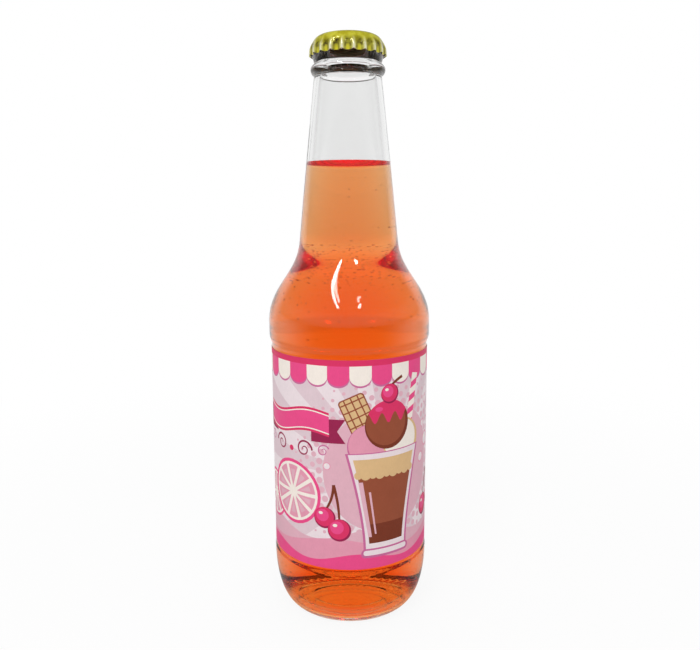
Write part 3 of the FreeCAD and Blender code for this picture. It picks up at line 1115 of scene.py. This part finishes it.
def build_liner():
    """A moulded seal: a thin middle, a thick ring pressed onto the lip and a skirt round its edge."""
    recess = CROWN_CEILING - LINER_CENTRE
    rim = LIP_LAND_INNER - BORE_RADIUS
    pressed = LIP_TOP - LINER_PRESS
    turns = np.linspace(math.pi, math.pi / 2, 12)
    inner_round = [around(LIP_LAND_INNER, pressed - rim, rim, t) for t in turns]
    under = bezier([(r, z - LINER_PRESS) for r, z in LIP_POLES], LINER_WRAP)[::-1]
    over = bezier([(r, z - LINER_SLACK) for r, z in CEILING_POLES], LINER_WRAP)
    outline = joined([
        [(0, recess), (LINER_RECESS_RADIUS, recess), (LINER_LIP, pressed - rim)],
        inner_round,
        under,
        over,
        [(LIP_LAND_OUTER, CROWN_CEILING), (0, CROWN_CEILING)],
    ])
    points, faces = lathe(followed(outline, LINER_ROUNDING, LINER_STEP), CROWN_SEGMENTS // 2)
    return add_piece("crown_liner_looks", points, faces, liner_material(), "crown", "crown_liner")


# Studio

# Light crosses the glass and the drink many times before it leaves them.
LIGHT_BOUNCES = 32
CAMERA_PLACE = (0.0003, -0.2668, 0.1583)
CAMERA_PITCH = math.radians(-9.94)
CAMERA_ROLL = math.radians(0.28)
FOCAL_PIXELS = 690.8
PHOTO_WIDTH = 700
SENSOR = 36.0


def add_camera():
    """The camera fitted to the photograph."""
    data = bpy.data.cameras.new("camera")
    data.sensor_width = SENSOR
    data.lens = SENSOR * FOCAL_PIXELS / PHOTO_WIDTH
    data.clip_start = 0.01
    camera = bpy.data.objects.new("camera", data)
    turn = Matrix.Rotation(math.pi / 2 + CAMERA_PITCH, 4, "X") @ Matrix.Rotation(-CAMERA_ROLL, 4, "Z")
    camera.matrix_world = Matrix.Translation(CAMERA_PLACE) @ turn
    bpy.context.scene.collection.objects.link(camera)
    bpy.context.scene.camera = camera


# Each strip lamp has its place to the side, its reach from far to near, its width and its watts.
LAMP_HEIGHT = 1.03
LEFT_LAMP = (-0.38, (-1.22, -0.39), 0.08, 5)
RIGHT_LAMP = (0.34, (-1.22, -0.93), 0.11, 2)


def add_strip(name, x, reach, width, power):
    """A long softbox overhead, parallel to the camera's line of sight, facing straight down."""
    data = bpy.data.lights.new(name, "AREA")
    data.shape = "RECTANGLE"
    data.size = width
    data.size_y = reach[1] - reach[0]
    data.energy = power
    lamp = bpy.data.objects.new(name, data)
    lamp.location = (x, sum(reach) / 2, LAMP_HEIGHT)
    bpy.context.scene.collection.objects.link(lamp)


def seen_directly(tree):
    """1 for what is seen straight, mirrored or through glass, and 0 for light that falls on things."""
    path = tree.nodes.new("ShaderNodeLightPath")
    seen = path.outputs["Is Camera Ray"]
    for name in ("Is Glossy Ray", "Is Transmission Ray"):
        seen = calculated(tree, "MAXIMUM", seen, path.outputs[name])
    return path, seen


AMBIENT = 0.74
# How bright the room is from straight ahead of the bottle to straight behind it
ROOM_STOPS = ((0.0, 0.02), (0.5, 0.06), (0.72, 0.16), (0.83, 0.88), (1.0, 0.88))
# How bright it is at least to light that came through the glass
ROOM_THROUGH = 0.35
# How much brighter it is higher up to that light, by height from straight down to straight up
THROUGH_STOPS = ((0.0, 1.0), (0.6, 1.0), (0.7, 1.13), (1.0, 1.13))
# How much of the room is mirrored, by height from straight down to straight up
MIRRORED_STOPS = ((0.0, 1.0), (0.64, 1.0), (0.74, 0.2), (1.0, 0.2))
# The bright band of the wall that the neck mirrors, by height from straight down to straight up
WALL_STOPS = ((0.0, 0.0), (0.53, 0.0), (0.58, 0.28), (0.66, 0.28), (0.74, 0.04), (1.0, 0.04))


def graded(tree, value, stops):
    """A level that follows a direction's component, which runs from -1 to 1, through these stops."""
    share = ranged(tree, value, (-1.0, 1.0), (0.0, 1.0), "LINEAR")
    node = tree.nodes.new("ShaderNodeValToRGB")
    marks = node.color_ramp.elements
    while len(marks) < len(stops):
        marks.new(0.5)
    for mark, (position, level) in zip(marks, stops):
        mark.position = position
        mark.color = (level, level, level, 1)
    tree.links.new(share, node.inputs["Fac"])
    return node.outputs["Color"]


def add_world():
    """A studio with a white backdrop behind the bottle, dim to the sides and behind the camera."""
    world = bpy.data.worlds.new("studio")
    world.use_nodes = True
    tree = world.node_tree
    background = tree.nodes["Background"]
    path, seen = seen_directly(tree)
    place = tree.nodes.new("ShaderNodeTexCoord")
    split = tree.nodes.new("ShaderNodeSeparateXYZ")
    tree.links.new(place.outputs["Generated"], split.inputs["Vector"])
    room = graded(tree, split.outputs["Y"], ROOM_STOPS)
    low_room = calculated(tree, "MULTIPLY", room, graded(tree, split.outputs["Z"], MIRRORED_STOPS))
    mirrored = calculated(tree, "MAXIMUM", low_room, graded(tree, split.outputs["Z"], WALL_STOPS))
    high_room = calculated(tree, "MULTIPLY", room, graded(tree, split.outputs["Z"], THROUGH_STOPS))
    through = calculated(tree, "MAXIMUM", high_room, ROOM_THROUGH)
    shown = mixed(tree, path.outputs["Is Transmission Ray"], mirrored, through)
    lit = mixed(tree, seen, AMBIENT, shown)
    background.inputs["Color"].default_value = (1, 1, 1, 1)
    tree.links.new(mixed(tree, path.outputs["Is Camera Ray"], lit, 1.0), background.inputs["Strength"])
    bpy.context.scene.world = world


FLOOR_RADIUS_M = 3.0
FLOOR_SIDES = 64
FLOOR_PALE = (0.9, 0.9, 0.9, 1)
# From how far round the front to how far round the back the floor brightens, as a sine
FLOOR_BEARING = (-0.75, 0.5)
# How much of the floor is mirrored, but for the back, which the bottle's edges mirror in full
FLOOR_MIRRORED = 0.4
GRAZED_BEARING = (0.4, 0.8)
FLOOR_BACK_M = (0.5, 1.2)
FLOOR_BACK = 0.86
SHADOW_SHARE = 0.1
SHADOW_REACH = (0.12, 0.4)
# A painted pool of orange light on the floor under the drink, seen only by mirrored and through-glass
# rays, in place of the light that the drink throws there
GLOW_REACH = (0.022, 0.036)
GLOW = (1.0, 0.42, 0.14, 1)


def add_floor():
    """A pale floor that holds the shadow, fades to the backdrop's white, and glows under the drink."""
    mesh = bpy.data.meshes.new("floor")
    bm = bmesh.new()
    bmesh.ops.create_circle(bm, cap_ends=True, segments=FLOOR_SIDES, radius=FLOOR_RADIUS_M)
    bm.to_mesh(mesh)
    bm.free()
    material = bpy.data.materials.new("floor")
    material.use_nodes = True
    tree = material.node_tree
    tree.nodes.remove(tree.nodes["Principled BSDF"])
    matt = tree.nodes.new("ShaderNodeBsdfDiffuse")
    matt.inputs["Color"].default_value = FLOOR_PALE
    white = tree.nodes.new("ShaderNodeEmission")
    path, seen = seen_directly(tree)
    to_camera = path.outputs["Is Camera Ray"]
    place = tree.nodes.new("ShaderNodeTexCoord")
    far = tree.nodes.new("ShaderNodeVectorMath")
    far.operation = "LENGTH"
    tree.links.new(place.outputs["Object"], far.inputs[0])
    split = tree.nodes.new("ShaderNodeSeparateXYZ")
    tree.links.new(place.outputs["Object"], split.inputs["Vector"])
    bearing = calculated(tree, "DIVIDE", split.outputs["Y"], far.outputs["Value"])
    near = ranged(tree, bearing, FLOOR_BEARING, (ROOM_STOPS[0][1], 1.0))
    share = ranged(tree, bearing, GRAZED_BEARING, (FLOOR_MIRRORED, 1.0))
    mirrored = calculated(tree, "MULTIPLY", near, share)
    near = mixed(tree, path.outputs["Is Transmission Ray"], mirrored, near)
    back = ranged(tree, split.outputs["Y"], FLOOR_BACK_M, (1.0, FLOOR_BACK))
    level = calculated(tree, "MULTIPLY", near, back)
    # The painted pool of light under the drink
    under = ranged(tree, far.outputs["Value"], GLOW_REACH, (1.0, 0.0))
    level = mixed(tree, under, level, 1.0)
    tree.links.new(mixed(tree, to_camera, level, 1.0), white.inputs["Strength"])
    glow = mixed_colours(tree, mixed(tree, to_camera, under, 0.0), (1, 1, 1, 1), GLOW)
    tree.links.new(glow, white.inputs["Color"])
    plain = ranged(tree, far.outputs["Value"], SHADOW_REACH, (1 - SHADOW_SHARE, 1.0))
    amount = calculated(tree, "MULTIPLY", seen, mixed(tree, to_camera, 1.0, plain))
    shown = tree.nodes.new("ShaderNodeMixShader")
    tree.links.new(amount, shown.inputs[0])
    tree.links.new(matt.outputs["BSDF"], shown.inputs[1])
    tree.links.new(white.outputs["Emission"], shown.inputs[2])
    tree.links.new(shown.outputs["Shader"], tree.nodes["Material Output"].inputs["Surface"])
    mesh.materials.append(material)
    floor = bpy.data.objects.new("floor", mesh)
    bpy.context.scene.collection.objects.link(floor)


build_glass()
build_soda()
build_label()
build_glue()
build_crown()
build_liner()
add_camera()
add_world()
add_floor()
add_strip("left_strip", *LEFT_LAMP)
add_strip("right_strip", *RIGHT_LAMP)
bpy.context.scene.cycles.max_bounces = LIGHT_BOUNCES
bpy.context.scene.cycles.transmission_bounces = LIGHT_BOUNCES
bpy.context.scene.cycles.glossy_bounces = LIGHT_BOUNCES
bpy.context.scene.view_settings.view_transform = "Standard"

bpy.context.view_layer.update()
